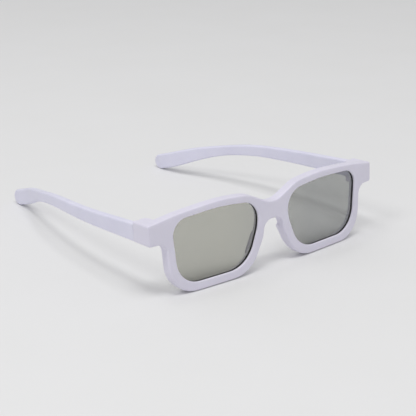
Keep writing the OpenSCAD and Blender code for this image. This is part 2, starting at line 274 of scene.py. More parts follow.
def arcPlan(x, y, radius, start=0, end=360, steps=48):
    whole = end - start == 360
    count = steps if whole else steps + 1
    angles = [math.radians(start + (end - start) * k / steps) for k in range(count)]
    return [(x + radius * math.cos(a), y + radius * math.sin(a)) for a in angles]


# Soft edges where flat faces meet
def softenEdges(piece, width, angle=40):
    bevel = piece.modifiers.new("soft edges", "BEVEL")
    bevel.width = width
    bevel.segments = 3
    bevel.angle_limit = math.radians(angle)
    bevel.use_clamp_overlap = True
    applyModifiers(piece)


# Smooth shading that keeps the flats flat
def shade(piece, angle=sharpAngle):
    piece.data.shade_smooth()
    piece.data.set_sharp_from_angle(angle=math.radians(angle))
    weighted = piece.modifiers.new("weighted", "WEIGHTED_NORMAL")
    weighted.keep_sharp = True
    weighted.mode = "FACE_AREA_WITH_ANGLE"
    applyModifiers(piece)


# Puts a finished piece in its place, on its body, in place of its node
def finishPiece(piece, node, material):
    piece.data.transform(stand @ Matrix.Scale(mm, 4))
    piece.data.materials.clear()
    piece.data.materials.append(material)
    for face in piece.data.polygons:
        face.material_index = 0
    body = next(b for b, members in frame["record"]["behaviour"]["bodies"].items() if node in members)
    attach(piece, body)
    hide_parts(node)
    print("piece:", piece.name, len(piece.data.polygons), "faces")


# Materials
def linear(hexColour):
    values = [int(hexColour[i:i + 2], 16) / 255 for i in (1, 3, 5)]
    return [v / 12.92 if v <= 0.04045 else ((v + 0.055) / 1.055) ** 2.4 for v in values] + [1]


def addNode(tree, kind, values=None, links=None, **settings):
    node = tree.nodes.new(kind)
    for key, value in settings.items():
        setattr(node, key, value)
    for key, value in (values or {}).items():
        node.inputs[key].default_value = value
    for key, socket in (links or {}).items():
        tree.links.new(socket, node.inputs[key])
    return node


def newMaterial(name):
    material = bpy.data.materials.new(name)
    material.use_nodes = True
    material.node_tree.nodes.clear()
    return material, material.node_tree


# Moulded ABS: a satin skin from a fine spark-eroded mould, with faint flow shades in the plastic and a
# gloss that varies a little with them. A band of depths, where given, is painted black as painted shade
# for the dark gap behind the lens.
def mouldedAbs(name, colour, shadow, roughness, paintedShadeBand=None):
    material, tree = newMaterial(name)
    place = addNode(tree, "ShaderNodeTexCoord").outputs["Object"]
    grainSize = 0.35  # mm; the real texture is 0.05 mm, drawn coarser so that it shows
    flowSize = 14  # mm
    grain = addNode(
        tree, "ShaderNodeTexNoise", {"Scale": 1 / (grainSize * mm), "Detail": 2}, {"Vector": place})
    flow = addNode(
        tree, "ShaderNodeTexNoise", {"Scale": 1 / (flowSize * mm), "Detail": 3}, {"Vector": place})
    shades = addNode(tree, "ShaderNodeValToRGB", links={"Fac": flow.outputs["Fac"]})
    shades.color_ramp.elements[0].position = 0.35
    shades.color_ramp.elements[0].color = linear(shadow)
    shades.color_ramp.elements[1].position = 0.65
    shades.color_ramp.elements[1].color = linear(colour)
    gloss = addNode(
        tree, "ShaderNodeMapRange",
        {"From Min": 0.3, "From Max": 0.7, "To Min": roughness - 0.05, "To Max": roughness + 0.06},
        {"Value": flow.outputs["Fac"]})
    bump = addNode(
        tree, "ShaderNodeBump", {"Strength": 0.25, "Distance": 0.02 * mm}, {"Height": grain.outputs["Fac"]})
    paint = shades.outputs["Color"]
    if paintedShadeBand:  # painted shade: the wall between the two depths, just behind the lens, is painted black for the deep shade in the gap there
        section = addNode(tree, "ShaderNodeAttribute", attribute_name="section")
        depth = addNode(tree, "ShaderNodeSeparateXYZ", links={0: section.outputs["Vector"]})
        inPaintedShade = addNode(
            tree, "ShaderNodeMath", {1: sum(paintedShadeBand) / 2, 2: (paintedShadeBand[1] - paintedShadeBand[0]) / 2},
            {0: depth.outputs["Y"]}, operation="COMPARE")
        paint = addNode(
            tree, "ShaderNodeMix", {"B": linear("#0B0B0D")},
            {"Factor": inPaintedShade.outputs["Value"], "A": paint}, data_type="RGBA").outputs[2]
    skin = addNode(
        tree, "ShaderNodeBsdfPrincipled",
        {"IOR": 1.53, "Subsurface Weight": 0.12, "Subsurface Radius": (1.2 * mm, 1.1 * mm, 1.3 * mm),
         "Subsurface Scale": 1.0},
        {"Base Color": paint, "Roughness": gloss.outputs["Result"], "Normal": bump.outputs["Normal"]})
    addNode(tree, "ShaderNodeOutputMaterial", links={"Surface": skin.outputs["BSDF"]})
    return material


# 1 where a ray enters a film and 0 where it leaves, so that each film counts once
def frontShare(tree):
    side = addNode(tree, "ShaderNodeNewGeometry")
    share = addNode(
        tree, "ShaderNodeMath", {0: 1.0}, {1: side.outputs["Backfacing"]}, operation="SUBTRACT")
    return share.outputs["Value"]


# Clear hard-coated film: almost invisible but for a very faint tint and its gloss, which slight
# smears and waves break up. A low index keeps the mirrored share as weak as in the photo.
def clearFilm(name, tint, ior):
    material, tree = newMaterial(name)
    place = addNode(tree, "ShaderNodeTexCoord").outputs["Object"]
    smearSize = 9  # mm
    waveSize = 16  # mm
    smear = addNode(
        tree, "ShaderNodeTexNoise", {"Scale": 1 / (smearSize * mm), "Detail": 4}, {"Vector": place})
    haze = addNode(
        tree, "ShaderNodeMapRange", {"From Min": 0.4, "From Max": 0.75, "To Min": 0.05, "To Max": 0.12},
        {"Value": smear.outputs["Fac"]})
    waves = addNode(
        tree, "ShaderNodeTexNoise", {"Scale": 1 / (waveSize * mm), "Detail": 1}, {"Vector": place})
    ripple = addNode(
        tree, "ShaderNodeBump", {"Strength": 0.1, "Distance": 0.05 * mm}, {"Height": waves.outputs["Fac"]})
    gloss = addNode(
        tree, "ShaderNodeBsdfGlossy", {"Color": linear("#FFFFFF")},
        {"Roughness": haze.outputs["Result"], "Normal": ripple.outputs["Normal"]})
    clear = addNode(tree, "ShaderNodeBsdfTransparent", {"Color": linear(tint)})
    mirrorShare = addNode(tree, "ShaderNodeFresnel", {"IOR": ior}, {"Normal": ripple.outputs["Normal"]})
    share = addNode(
        tree, "ShaderNodeMath", links={0: mirrorShare.outputs["Fac"], 1: frontShare(tree)},
        operation="MULTIPLY")
    both = addNode(
        tree, "ShaderNodeMixShader",
        links={0: share.outputs["Value"], 1: clear.outputs["BSDF"], 2: gloss.outputs["BSDF"]})
    addNode(tree, "ShaderNodeOutputMaterial", links={"Surface": both.outputs["Shader"]})
    return material


# Dyed polarising film: a grey-green that takes a third to a half of the light, slightly milky on
# its face and black along its cut edge, partly the film's own edge and partly painted shade for the gap
# where it sits in the frame. The wearer's left and right films turn the light opposite ways, and the
# tint runs across the width, lighter and warmer towards the right film and darker towards the left.
def polarisingFilm(name):
    material, tree = newMaterial(name)
    place = addNode(tree, "ShaderNodeTexCoord").outputs["Object"]
    cloudSize = 22  # mm
    tintEnd = 30 * mm  # the tint has changed fully so far to each side
    cloud = addNode(
        tree, "ShaderNodeTexNoise", {"Scale": 1 / (cloudSize * mm), "Detail": 2}, {"Vector": place})
    across = addNode(tree, "ShaderNodeSeparateXYZ", links={0: place})
    # the tint runs across the width: lighter and warmer towards the wearer's right, darker towards the
    # left, with a faint cloud over it
    spread = addNode(
        tree, "ShaderNodeMapRange", {"From Min": -tintEnd, "From Max": tintEnd},
        {"Value": across.outputs["X"]})
    uneven = addNode(
        tree, "ShaderNodeMath", {1: 0.12}, {0: cloud.outputs["Fac"], 2: spread.outputs["Result"]},
        operation="MULTIPLY_ADD")
    shades = addNode(tree, "ShaderNodeValToRGB", links={"Fac": uneven.outputs["Value"]})
    shades.color_ramp.elements[0].color = linear("#D2D2CA")
    shades.color_ramp.elements[1].color = linear("#BDBFBF")
    edge = addNode(tree, "ShaderNodeAttribute", attribute_name="darkEdgeAndShade")
    seen = addNode(
        tree, "ShaderNodeMix", {"B": linear("#08080A")},
        {"Factor": edge.outputs["Fac"], "A": shades.outputs["Color"]}, data_type="RGBA")
    once = addNode(
        tree, "ShaderNodeMix", {"A": (1, 1, 1, 1)}, {"Factor": frontShare(tree), "B": seen.outputs[2]},
        data_type="RGBA")
    through = addNode(tree, "ShaderNodeBsdfTransparent", links={"Color": once.outputs[2]})
    milk = addNode(tree, "ShaderNodeBsdfDiffuse", {"Color": linear("#A9AAA0")})
    milkShare = addNode(
        tree, "ShaderNodeMapRange", {"To Min": 0.05, "To Max": 0.0}, {"Value": edge.outputs["Fac"]})
    milky = addNode(
        tree, "ShaderNodeMath", links={0: milkShare.outputs["Result"], 1: frontShare(tree)},
        operation="MULTIPLY")
    both = addNode(
        tree, "ShaderNodeMixShader",
        links={0: milky.outputs["Value"], 1: through.outputs["BSDF"], 2: milk.outputs["BSDF"]})
    addNode(tree, "ShaderNodeOutputMaterial", links={"Surface": both.outputs["Shader"]})
    return material


# Drawn stainless wire: fine rings round the pin and a dull machined end
def drawnSteel(name):
    material, tree = newMaterial(name)
    place = addNode(tree, "ShaderNodeTexCoord").outputs["Object"]
    lineLength = 1.5  # mm round the pin; along it the lines are 30 times finer
    stretch = addNode(tree, "ShaderNodeMapping", {"Scale": (1, 1, 30)}, {"Vector": place})
    lines = addNode(
        tree, "ShaderNodeTexNoise", {"Scale": 1 / (lineLength * mm), "Detail": 3},
        {"Vector": stretch.outputs["Vector"]})
    rough = addNode(
        tree, "ShaderNodeMapRange", {"To Min": 0.25, "To Max": 0.45}, {"Value": lines.outputs["Fac"]})
    bump = addNode(
        tree, "ShaderNodeBump", {"Strength": 0.3, "Distance": 0.01 * mm}, {"Height": lines.outputs["Fac"]})
    metal = addNode(
        tree, "ShaderNodeBsdfPrincipled", {"Base Color": linear("#B9B8B4"), "Metallic": 1.0},
        {"Roughness": rough.outputs["Result"], "Normal": bump.outputs["Normal"]})
    addNode(tree, "ShaderNodeOutputMaterial", links={"Surface": metal.outputs["BSDF"]})
    return material


frontAbs = mouldedAbs("moulded ABS front", "#E0DDEC", "#DCD9E8", 0.42)
templeAbs = mouldedAbs("moulded ABS temple", "#E0DFF0", "#DCDBED", 0.4)
# painted light: the retainer's plastic is drawn lighter than the front's to lift its wall, which lies in
# shade behind the lens
# painted shade: the retainer's wall from 1.9 to 2.4 mm deep is painted black for the shade in the gap
# behind the lens
retainerAbs = mouldedAbs("moulded ABS retainer", "#E6E4F3", "#E2E0EF", 0.45, (1.9, 2.4))
retarder = clearFilm("clear retarder film", "#FBFBFA", 1.3)
polariser = polarisingFilm("dyed polarising film")
backing = clearFilm("clear backing sheet", "#FAFAFA", 1.15)
steel = drawnSteel("drawn stainless steel")
print("materials made")


# Snap tabs on each retainer: where its path crosses two places along the lens, above and below
tabSize = {"places": (26.6, 42.8), "length": 5.0, "thickness": 0.7, "reach": 2.0, "depth": 4.25}


def tabPlaces():
    found = []
    middle = (lens["low"] + lens["high"]) / 2
    loop = loopPoints(openingCorners)
    for x in tabSize["places"]:
        for a, b in zip(loop, loop[1:] + loop[:1]):
            if min(a.x, b.x) <= x < max(a.x, b.x):
                z = a.y + (b.y - a.y) * (x - a.x) / (b.x - a.x)
                found.append((x, z, 1 if z > middle else -1))
    return found


# Front: rims, bridge, end pieces with hinge ears, nose pads
def makeFront():
    rearFace = front["depth"]
    outerWall = [
        (depth, loopPoints(outlineCorners, inset))
        for depth, inset in quarterRound(front["edgeFront"])
    ]
    outerWall += [
        (rearFace - depth, loopPoints(outlineCorners, inset))
        for depth, inset in reversed(quarterRound(front["edgeRear"]))
    ]
    seat = [(depth, -inset) for depth, inset in quarterRound(front["edgeOpening"])]
    seat += [
        (front["lensInset"], 0), (front["lensInset"], -front["ledge"]),
        (front["flangeFront"], -front["ledge"]), (front["flangeFront"], -front["flange"]),
        (rearFace, -front["flange"]),
    ]
    walls = [outerWall]
    for side in sides.values():
        walls.append([
            (depth, [Vector((side * p.x, p.y)) for p in loopPoints(openingCorners, inset)])
            for depth, inset in seat
        ])
    shell = curvedPlate("frontShell", walls)
    for side, sign in sides.items():
        lug = makeLug(side)
        pad = makeNosePad(side)
        if sign < 0:
            lug, pad = (mirrorOver(part) for part in (lug, pad))
        combine(shell, [lug, pad], "UNION")
        pockets = []
        gap = front["edgeGap"]
        for x, z, up in tabPlaces():
            low, high = sorted((z, z + up * (tabSize["reach"] + gap)))
            x *= sign
            near = x - tabSize["length"] / 2 - gap
            far = x + tabSize["length"] / 2 + gap
            start = sag(x) + tabSize["depth"] - tabSize["thickness"] / 2 - gap
            end = start + tabSize["thickness"] + 2 * gap
            plan = [(near, start), (far, start), (far, end), (near, end)]
            pockets.append(prism("pocket", plan, low, high))
        combine(shell, pockets, "DIFFERENCE")
    return shell


lugSize = {
    "outerFront": 6.2, "innerFront": 4, "back": 15.9, "low": 27.0, "top": 37.3, "softEdge": 0.22,
    "ear": 2.9,  # radius round the pin
    "slotRadius": 3.0, "slotHeight": 4.9,
    "pastSide": 1, "pastLow": 0.5,  # how far it is drawn past the outline, which cuts it back
}


# End piece with the slot for the temple's knuckle and the blind bore for the pin
def makeLug(side):
    back = lugSize["back"]
    outer = front["halfWidth"] + lugSize["pastSide"]
    ear = arcPlan(pin["x"], pin["y"], lugSize["ear"], 45, 180, 24)
    inner = [(pin["x"] - lugSize["ear"], lugSize["innerFront"])]
    plan = [(outer, lugSize["outerFront"]), (outer, back), (pin["x"] + lugSize["slotRadius"], back)]
    lug = prism(side + "Lug", plan + ear + inner, lugSize["low"] - lugSize["pastLow"], lugSize["top"])
    cutter = {"start": -1, "length": 20, "inset": 0.01}  # the inset keeps it clear of the rim's wall
    made = bmesh.new()
    outline = loopPoints(outlineCorners, cutter["inset"])
    ring = [made.verts.new((p.x, cutter["start"], p.y)) for p in outline]
    made.faces.new(ring)
    body = bmesh.ops.extrude_face_region(made, geom=made.faces[:])
    raised = [v for v in body["geom"] if isinstance(v, bmesh.types.BMVert)]
    bmesh.ops.translate(made, verts=raised, vec=(0, cutter["length"], 0))
    bmesh.ops.recalc_face_normals(made, faces=made.faces)
    combine(lug, [meshPiece("outlinePrism", made)], "INTERSECT")
    low = pin["z"] - lugSize["slotHeight"] / 2
    high = pin["z"] + lugSize["slotHeight"] / 2
    innerEnd = 50  # past the end piece, as the slot is open towards the nose and the rear
    backEnd = back + 5
    slotPlan = [(pin["x"] + lugSize["slotRadius"], backEnd)]
    slotPlan += arcPlan(pin["x"], pin["y"], lugSize["slotRadius"], 0, -90, 16)
    slotPlan += [(innerEnd, pin["y"] - lugSize["slotRadius"]), (innerEnd, backEnd)]
    combine(lug, [prism("slot", slotPlan, low, high)], "DIFFERENCE")
    softenEdges(lug, lugSize["softEdge"])
    boreStart = 20  # well below the end piece
    bore = prism("bore", arcPlan(pin["x"], pin["y"], pin["radius"]), boreStart, pin["high"])
    combine(lug, [bore], "DIFFERENCE")
    return lug


padSize = {
    "length": 13, "thickness": 2.6, "standOut": 2.5, "taper": 1.6,
    "rooted": 1,  # depth of its foot in the rim
    "crestThinner": 0.3, "crestAside": 0.4,
}


# Nose pad: the hull of four balls along the notch, its foot in the rim and its crest behind it
def makeNosePad(side):
    low = Vector(halfOutline[8][:2])
    high = Vector(halfOutline[9][:2])
    along = (high - low).normalized()
    out = Vector((along.y, -along.x))
    start = sag(lens["in"]) + front["depth"]
    top = high + along * padSize["thickness"] / 2
    made = bmesh.new()
    for end in (0, 1):
        for crest in (0, 1):
            inset = crest * padSize["taper"]
            radius = padSize["thickness"] / 2 - crest * padSize["crestThinner"]
            reach = padSize["length"] - inset if end else inset
            aside = padSize["thickness"] / 2 + crest * padSize["crestAside"]
            spot = top - along * reach + out * aside
            depth = padSize["standOut"] - radius if crest else -padSize["rooted"]
            place = Matrix.Translation((spot.x, start + depth, spot.y))
            bmesh.ops.create_icosphere(made, subdivisions=4, radius=radius, matrix=place)
    bmesh.ops.delete(made, geom=made.faces[:], context="FACES_ONLY")
    bmesh.ops.convex_hull(made, input=made.verts[:])
    inside = [v for v in made.verts if not v.link_faces]
    bmesh.ops.delete(made, geom=inside, context="VERTS")
    loose = [e for e in made.edges if not e.link_faces]
    bmesh.ops.delete(made, geom=loose, context="EDGES")
    bmesh.ops.recalc_face_normals(made, faces=made.faces)
    return meshPiece(side + "NosePad", made)


# Camera, floor and light
cameraView = {  # mm and degrees, and the nearest distance seen in metres
    "place": (-353.8, -463.5, 224.9), "azimuth": -39.223, "elevation": 20.48, "roll": -0.34,
    "lens": 99.0, "sensor": 36, "nearest": 0.01,
}


def makeCamera():
    azimuth, elevation, roll = (math.radians(cameraView[k]) for k in ("azimuth", "elevation", "roll"))
    turn = (Matrix.Rotation(azimuth, 4, "Z") @ Matrix.Rotation(math.pi / 2 - elevation, 4, "X")
            @ Matrix.Rotation(roll, 4, "Z"))
    data = bpy.data.cameras.new("camera")
    data.lens = cameraView["lens"]
    data.sensor_width = cameraView["sensor"]
    data.clip_start = cameraView["nearest"]
    camera = bpy.data.objects.new("camera", data)
    camera.matrix_world = Matrix.Translation(Vector(cameraView["place"]) * mm) @ turn
    bpy.context.scene.collection.objects.link(camera)
    bpy.context.scene.camera = camera


# Matt white paper: a plain sheet, mottled so faintly that it only looks less flat
def makeFloor():
    reach = 3  # metres from the middle
    mottleSize = 60  # mm
    made = bmesh.new()
    bmesh.ops.create_grid(made, x_segments=8, y_segments=8, size=reach)
    floor = meshPiece("floor", made)
    material, tree = newMaterial("matt white paper")
    place = addNode(tree, "ShaderNodeTexCoord").outputs["Object"]
    mottle = addNode(
        tree, "ShaderNodeTexNoise", {"Scale": 1 / (mottleSize * mm), "Detail": 4}, {"Vector": place})
    shades = addNode(tree, "ShaderNodeValToRGB", links={"Fac": mottle.outputs["Fac"]})
    shades.color_ramp.elements[0].color = linear("#E4E4E4")
    shades.color_ramp.elements[1].color = linear("#E7E7E8")
    skin = addNode(
        tree, "ShaderNodeBsdfPrincipled", {"Roughness": 0.75, "Specular IOR Level": 0.2},
        {"Base Color": shades.outputs["Color"]})
    addNode(tree, "ShaderNodeOutputMaterial", links={"Surface": skin.outputs["BSDF"]})
    floor.data.materials.append(material)


# Softboxes round the glasses: turn and tilt from overhead in degrees, size in metres, watts
softboxDistance = 1.8  # metres
roomGlow = 0.545  # strength of the world's plain white
softboxes = {
    "front": (258, 18, 0.6, 5.7),
    "front left": (215, 20, 0.3, 4.2),
    "rear left": (135, 20, 0.45, 1.9),
    "left": (185, 40, 0.45, 3.9),
}


def makeLights():
    for name, (turn, tilt, size, watts) in softboxes.items():
        data = bpy.data.lights.new(name, "AREA")
        data.shape = "SQUARE"
        data.size = size
        data.energy = watts
        light = bpy.data.objects.new(name, data)
        aside = Matrix.Rotation(math.radians(turn), 3, "Z") @ Matrix.Rotation(math.radians(tilt), 3, "Y")
        place = aside @ Vector((0, 0, softboxDistance))
        aim = (-place).to_track_quat("-Z", "Y").to_matrix().to_4x4()
        light.matrix_world = Matrix.Translation(place) @ aim
        bpy.context.scene.collection.objects.link(light)
    world = bpy.data.worlds.new("studio")
    world.use_nodes = True
    tree = world.node_tree
    tree.nodes.clear()
    glow = addNode(tree, "ShaderNodeBackground", {"Color": linear("#FFFFFF"), "Strength": roomGlow})
    addNode(tree, "ShaderNodeOutputWorld", links={"Surface": glow.outputs["Background"]})
    bpy.context.scene.world = world


bpy.context.scene.view_settings.view_transform = "Standard"
makeCamera()
makeFloor()
makeLights()
print("camera, floor and lights made")

shell = makeFront()
shade(shell)
finishPiece(shell, "front_frame", frontAbs)

# Lenses: each layer is a thin plate that follows the front's curve, a hair clear of the next
films = {
    "retarder_film": {"name": "RetarderFilm", "depths": (1.105, 1.345), "material": retarder},
    "polariser_film": {"name": "PolariserFilm", "depths": (1.355, 1.545), "material": polariser},
    "backing_sheet": {"name": "BackingSheet", "depths": (1.555, 1.945), "material": backing},
}
darkEdgeAndShade = {"fade": 0.05}  # mm inside the opening's edge where the black margin starts: the film's dark edge with painted shade of the gap


def makeFilm(side, kind):
    film = films[kind]
    low, high = film["depths"]
    hidden = front["edgeGap"] - front["ledge"]
    insets = [darkEdgeAndShade["fade"], 0.0, hidden]
    steps = [(low, inset) for inset in insets] + [(high, inset) for inset in reversed(insets)]
    wall = [
        (depth, [Vector((sides[side] * p.x, p.y)) for p in loopPoints(openingCorners, inset)])
        for depth, inset in steps
    ]
    piece = curvedPlate(side + film["name"], [wall])
    count = len(wall[0][1])
    # the black margin: the film's cut edge and painted shade of the gap at the seat
    marked = piece.data.attributes.new("darkEdgeAndShade", "FLOAT", "POINT")
    for i in range(count, 5 * count):  # all six loops but the first and the last
        marked.data[i].value = 1.0
    piece.data.shade_smooth()
    piece.data.set_sharp_from_angle(angle=math.radians(sharpAngle))
    finishPiece(piece, side + "_" + kind, film["material"])


for side in sides:
    for kind in films:
        makeFilm(side, kind)


# Geometry Nodes: a new tree with named inputs, and a run of it that leaves a plain mesh
def newTree(name, sizes):
    tree = bpy.data.node_groups.new(name, "GeometryNodeTree")
    tree.interface.new_socket("Geometry", in_out="INPUT", socket_type="NodeSocketGeometry")
    for label, kind in sizes.items():
        tree.interface.new_socket(label, in_out="INPUT", socket_type="NodeSocket" + kind)
    tree.interface.new_socket("Geometry", in_out="OUTPUT", socket_type="NodeSocketGeometry")
    return tree, addNode(tree, "NodeGroupInput").outputs


def runTree(piece, tree, values):
    modifier = piece.modifiers.new("shape", "NODES")
    modifier.node_group = tree
    for item in tree.interface.items_tree:
        if item.in_out == "INPUT" and item.name in values:
            modifier[item.identifier] = values[item.name]
    applyModifiers(piece)
    faceOutwards(piece)


def pathPiece(name, points, closed, loose=()):
    count = len(points)
    edges = [(k, (k + 1) % count) for k in range(count if closed else count - 1)]
    mesh = bpy.data.meshes.new(name)
    mesh.from_pydata([tuple(p) for p in points] + [tuple(p) for p in loose], edges, [])
    piece = bpy.data.objects.new(name, mesh)
    bpy.context.scene.collection.objects.link(piece)
    return piece


def writeAttribute(piece, name, kind, values):
    made = piece.data.attributes.new(name, kind, "POINT")
    for spot, value in zip(made.data, values):
        if kind == "FLOAT_VECTOR":
            spot.vector = value
        else:
            spot.value = value


def named(tree, name, kind="FLOAT_VECTOR"):
    node = addNode(tree, "GeometryNodeInputNamedAttribute", {"Name": name}, data_type=kind)
    return next(s for s in node.outputs if s.enabled)


def calculate(tree, operation, *terms):
    node = addNode(tree, "ShaderNodeMath", operation=operation)
    for index, term in enumerate(terms):
        if isinstance(term, (int, float)):
            node.inputs[index].default_value = term
        else:
            tree.links.new(term, node.inputs[index])
    return node.outputs[0]


# Sweeps a section along the path and places each point at spot + first * x + second * y
def sweepAndPlace(tree, path, section, first, second, x, y, fillCaps):
    marked = addNode(
        tree, "GeometryNodeStoreNamedAttribute", {"Name": "spot"},
        {"Geometry": path, "Value": addNode(tree, "GeometryNodeInputPosition").outputs[0]},
        data_type="FLOAT_VECTOR", domain="POINT")
    swept = addNode(
        tree, "GeometryNodeCurveToMesh", {"Fill Caps": fillCaps},
        {"Curve": marked.outputs[0], "Profile Curve": section})
    sideways = addNode(tree, "ShaderNodeVectorMath", links={0: first, "Scale": x}, operation="SCALE")
    upwards = addNode(tree, "ShaderNodeVectorMath", links={0: second, "Scale": y}, operation="SCALE")
    offset = addNode(
        tree, "ShaderNodeVectorMath", links={0: sideways.outputs[0], 1: upwards.outputs[0]},
        operation="ADD")
    goal = addNode(
        tree, "ShaderNodeVectorMath", links={0: named(tree, "spot"), 1: offset.outputs[0]},
        operation="ADD")
    placed = addNode(
        tree, "GeometryNodeSetPosition",
        links={"Geometry": swept.outputs["Mesh"], "Position": goal.outputs[0]})
    return placed.outputs[0]


def endTree(tree, shape, material):
    real = addNode(tree, "GeometryNodeRealizeInstances", links={"Geometry": shape})
    dressed = addNode(
        tree, "GeometryNodeSetMaterial", links={"Geometry": real.outputs[0], "Material": material})
    addNode(tree, "NodeGroupOutput", links={"Geometry": dressed.outputs[0]})


# Lens retainers: a lip that presses on the lens, a web behind it and a flange that fills the
# wider pocket, swept along the lens opening, with snap tabs set on them. Behind the lip the
# inner wall leans outwards by the draft, so that little of it shows through the lens.
retainerSize = {
    "Lip Width": 0.95, "Lip Front": 1.95, "Lip Rear": 2.7, "Web Front": 2.5, "Web Rear": 3.7,
    "Flange Width": 1.65, "Flange Front": front["flangeFront"], "Rear": front["depth"],
    "Edge": 0.08, "Draft": 0.5, "Curve Radius": float(front["curveRadius"]),
    "Tab Size": (tabSize["length"], tabSize["thickness"], 0.7),
}


def retainerTree():
    kinds = {label: "Vector" if label == "Tab Size" else "Float" for label in retainerSize}
    tree, given = newTree("lens retainer", {**kinds, "Material": "Material"})
    path = addNode(tree, "GeometryNodeMeshToCurve", links={"Mesh": given["Geometry"]})
    bars = []
    for outer, begin, end, clear in (  # clear keeps two inner walls out of one plane
            ("Lip Width", "Lip Front", "Lip Rear", 0.0),
            ("Lip Width", "Web Front", "Web Rear", 0.01),
            ("Flange Width", "Flange Front", "Rear", 0.02)):
        bar = addNode(tree, "GeometryNodeCurvePrimitiveQuadrilateral", mode="POINTS")
        for number, (isOuter, depth) in enumerate(((0, begin), (1, begin), (1, end), (0, end))):
            pastLip = calculate(tree, "SUBTRACT", given[depth], given["Web Front"])
            behind = calculate(tree, "MAXIMUM", pastLip, 0.0)
            inner = calculate(tree, "MULTIPLY_ADD", behind, given["Draft"], clear)
            across = given[outer] if isOuter else inner
            corner = addNode(tree, "ShaderNodeCombineXYZ", links={"X": across, "Y": given[depth]})
            tree.links.new(corner.outputs[0], bar.inputs["Point " + str(number + 1)])
        soft = addNode(
            tree, "GeometryNodeFilletCurve", {"Count": 3},
            {"Curve": bar.outputs[0], "Radius": given["Edge"]}, mode="POLY")
        bars.append(soft.outputs[0])
    both = addNode(tree, "GeometryNodeJoinGeometry")
    for bar in bars:
        tree.links.new(bar, both.inputs[0])
    section = addNode(
        tree, "GeometryNodeStoreNamedAttribute", {"Name": "section"},
        {"Geometry": both.outputs[0], "Value": addNode(tree, "GeometryNodeInputPosition").outputs[0]},
        data_type="FLOAT_VECTOR", domain="POINT")
    parts = addNode(tree, "ShaderNodeSeparateXYZ", links={0: named(tree, "section")})
    rearward = addNode(tree, "ShaderNodeCombineXYZ", {"Y": 1.0})
    ring = sweepAndPlace(
        tree, path.outputs[0], section.outputs[0], named(tree, "outward"), rearward.outputs[0],
        parts.outputs["X"], parts.outputs["Y"], False)
    block = addNode(tree, "GeometryNodeMeshCube", links={"Size": given["Tab Size"]})
    tabs = addNode(
        tree, "GeometryNodeInstanceOnPoints",
        links={"Points": given["Geometry"], "Selection": named(tree, "isTab", "BOOLEAN"),
               "Instance": block.outputs["Mesh"]})
    realTabs = addNode(tree, "GeometryNodeRealizeInstances", links={"Geometry": tabs.outputs[0]})
    whole = addNode(tree, "GeometryNodeJoinGeometry")
    for shape in (ring, realTabs.outputs[0]):
        tree.links.new(shape, whole.inputs[0])
    position = addNode(tree, "GeometryNodeInputPosition")
    place = addNode(tree, "ShaderNodeSeparateXYZ", links={0: position.outputs[0]})
    square = calculate(tree, "MULTIPLY", place.outputs["X"], place.outputs["X"])
    radius = given["Curve Radius"]
    radiusSquare = calculate(tree, "MULTIPLY", radius, radius)
    root = calculate(tree, "SQRT", calculate(tree, "SUBTRACT", radiusSquare, square))
    shift = addNode(tree, "ShaderNodeCombineXYZ", links={"Y": calculate(tree, "SUBTRACT", radius, root)})
    bent = addNode(
        tree, "GeometryNodeSetPosition", links={"Geometry": whole.outputs[0], "Offset": shift.outputs[0]})
    endTree(tree, bent.outputs[0], given["Material"])
    return tree


def makeRetainer(side, tree):
    sign = sides[side]
    loop = loopPoints(openingCorners)
    further = loopPoints(openingCorners, -0.1)  # a little outside, for the outward directions
    outward = [(b - a).normalized() for a, b in zip(loop, further)]
    tabs = [
        (sign * x, tabSize["depth"], z + up * (tabSize["reach"] - retainerSize["Tab Size"][2] / 2))
        for x, z, up in tabPlaces()
    ]
    piece = pathPiece(side + "LensRetainer", [(sign * p.x, 0, p.y) for p in loop], True, tabs)
    writeAttribute(
        piece, "outward", "FLOAT_VECTOR",
        [(sign * p.x, 0, p.y) for p in outward] + [(0, 0, 0)] * len(tabs))
    writeAttribute(piece, "isTab", "BOOLEAN", [False] * len(loop) + [True] * len(tabs))
    runTree(piece, tree, {**retainerSize, "Material": retainerAbs})
    shade(piece)
    finishPiece(piece, side + "_lens_retainer", retainerAbs)


shapedRetainer = retainerTree()
for side in sides:
    makeRetainer(side, shapedRetainer)

# Temples: a rounded section swept along a line that first runs straight, then curves in
# and down behind the ear and straightens again towards a widened, rounded tip
temple = {
    "outerFace": 72.4, "thickness": 3.5, "edgeRadius": 1.1, "rootY": 16.1, "reach": 163.5,
    "rootMid": 31.65, "fall": math.tan(math.radians(1.7)),
    "rootHeight": 9.1, "waistHeight": 5.8, "waistAt": 108, "tipHeight": 9, "tipBack": 15,
    "tipRound": 0.65,  # length of the rounding as a share of the tip's height
    "tipThin": 0.45,  # least share of the thickness towards the end
    "tipClosed": 0.02,  # keeps the last section from shrinking to a point
    "roundTall": 0.3, "roundThick": 0.45,  # most that the edge radius takes of height and thickness
    "inward": (42, 136, 280, 75),  # starts, starts to straighten, radius of each bend
    "downward": (78, 140, 208, 210),
    "stations": 110, "tipStations": 14, "cornerPoints": 7,
}


def bendSine(y, begin, until, radius, backRadius):
    return max(0, min(y, until) - begin) / radius - max(0, y - until) / backRadius


def bendAngle(y, bend):
    return math.asin(bendSine(y, *bend))


def bendOffset(y, bend):
    until, radius, backRadius = bend[1:]
    first = bendAngle(min(y, until), bend)
    return radius * (1 - math.cos(first)) + backRadius * (math.cos(bendAngle(y, bend)) - math.cos(first))


def templeHeight(y):
    root, waist = temple["rootHeight"], temple["waistHeight"]
    if y < temple["waistAt"]:
        t = (y - temple["rootY"]) / (temple["waistAt"] - temple["rootY"])
        return root + (waist - root) * t * (1.25 - t / 4)  # falls a little faster at the root
    t = min(1, (y - temple["waistAt"]) / (temple["reach"] - temple["tipBack"] - temple["waistAt"]))
    return waist + (temple["tipHeight"] - waist) * t * t * (3 - 2 * t)


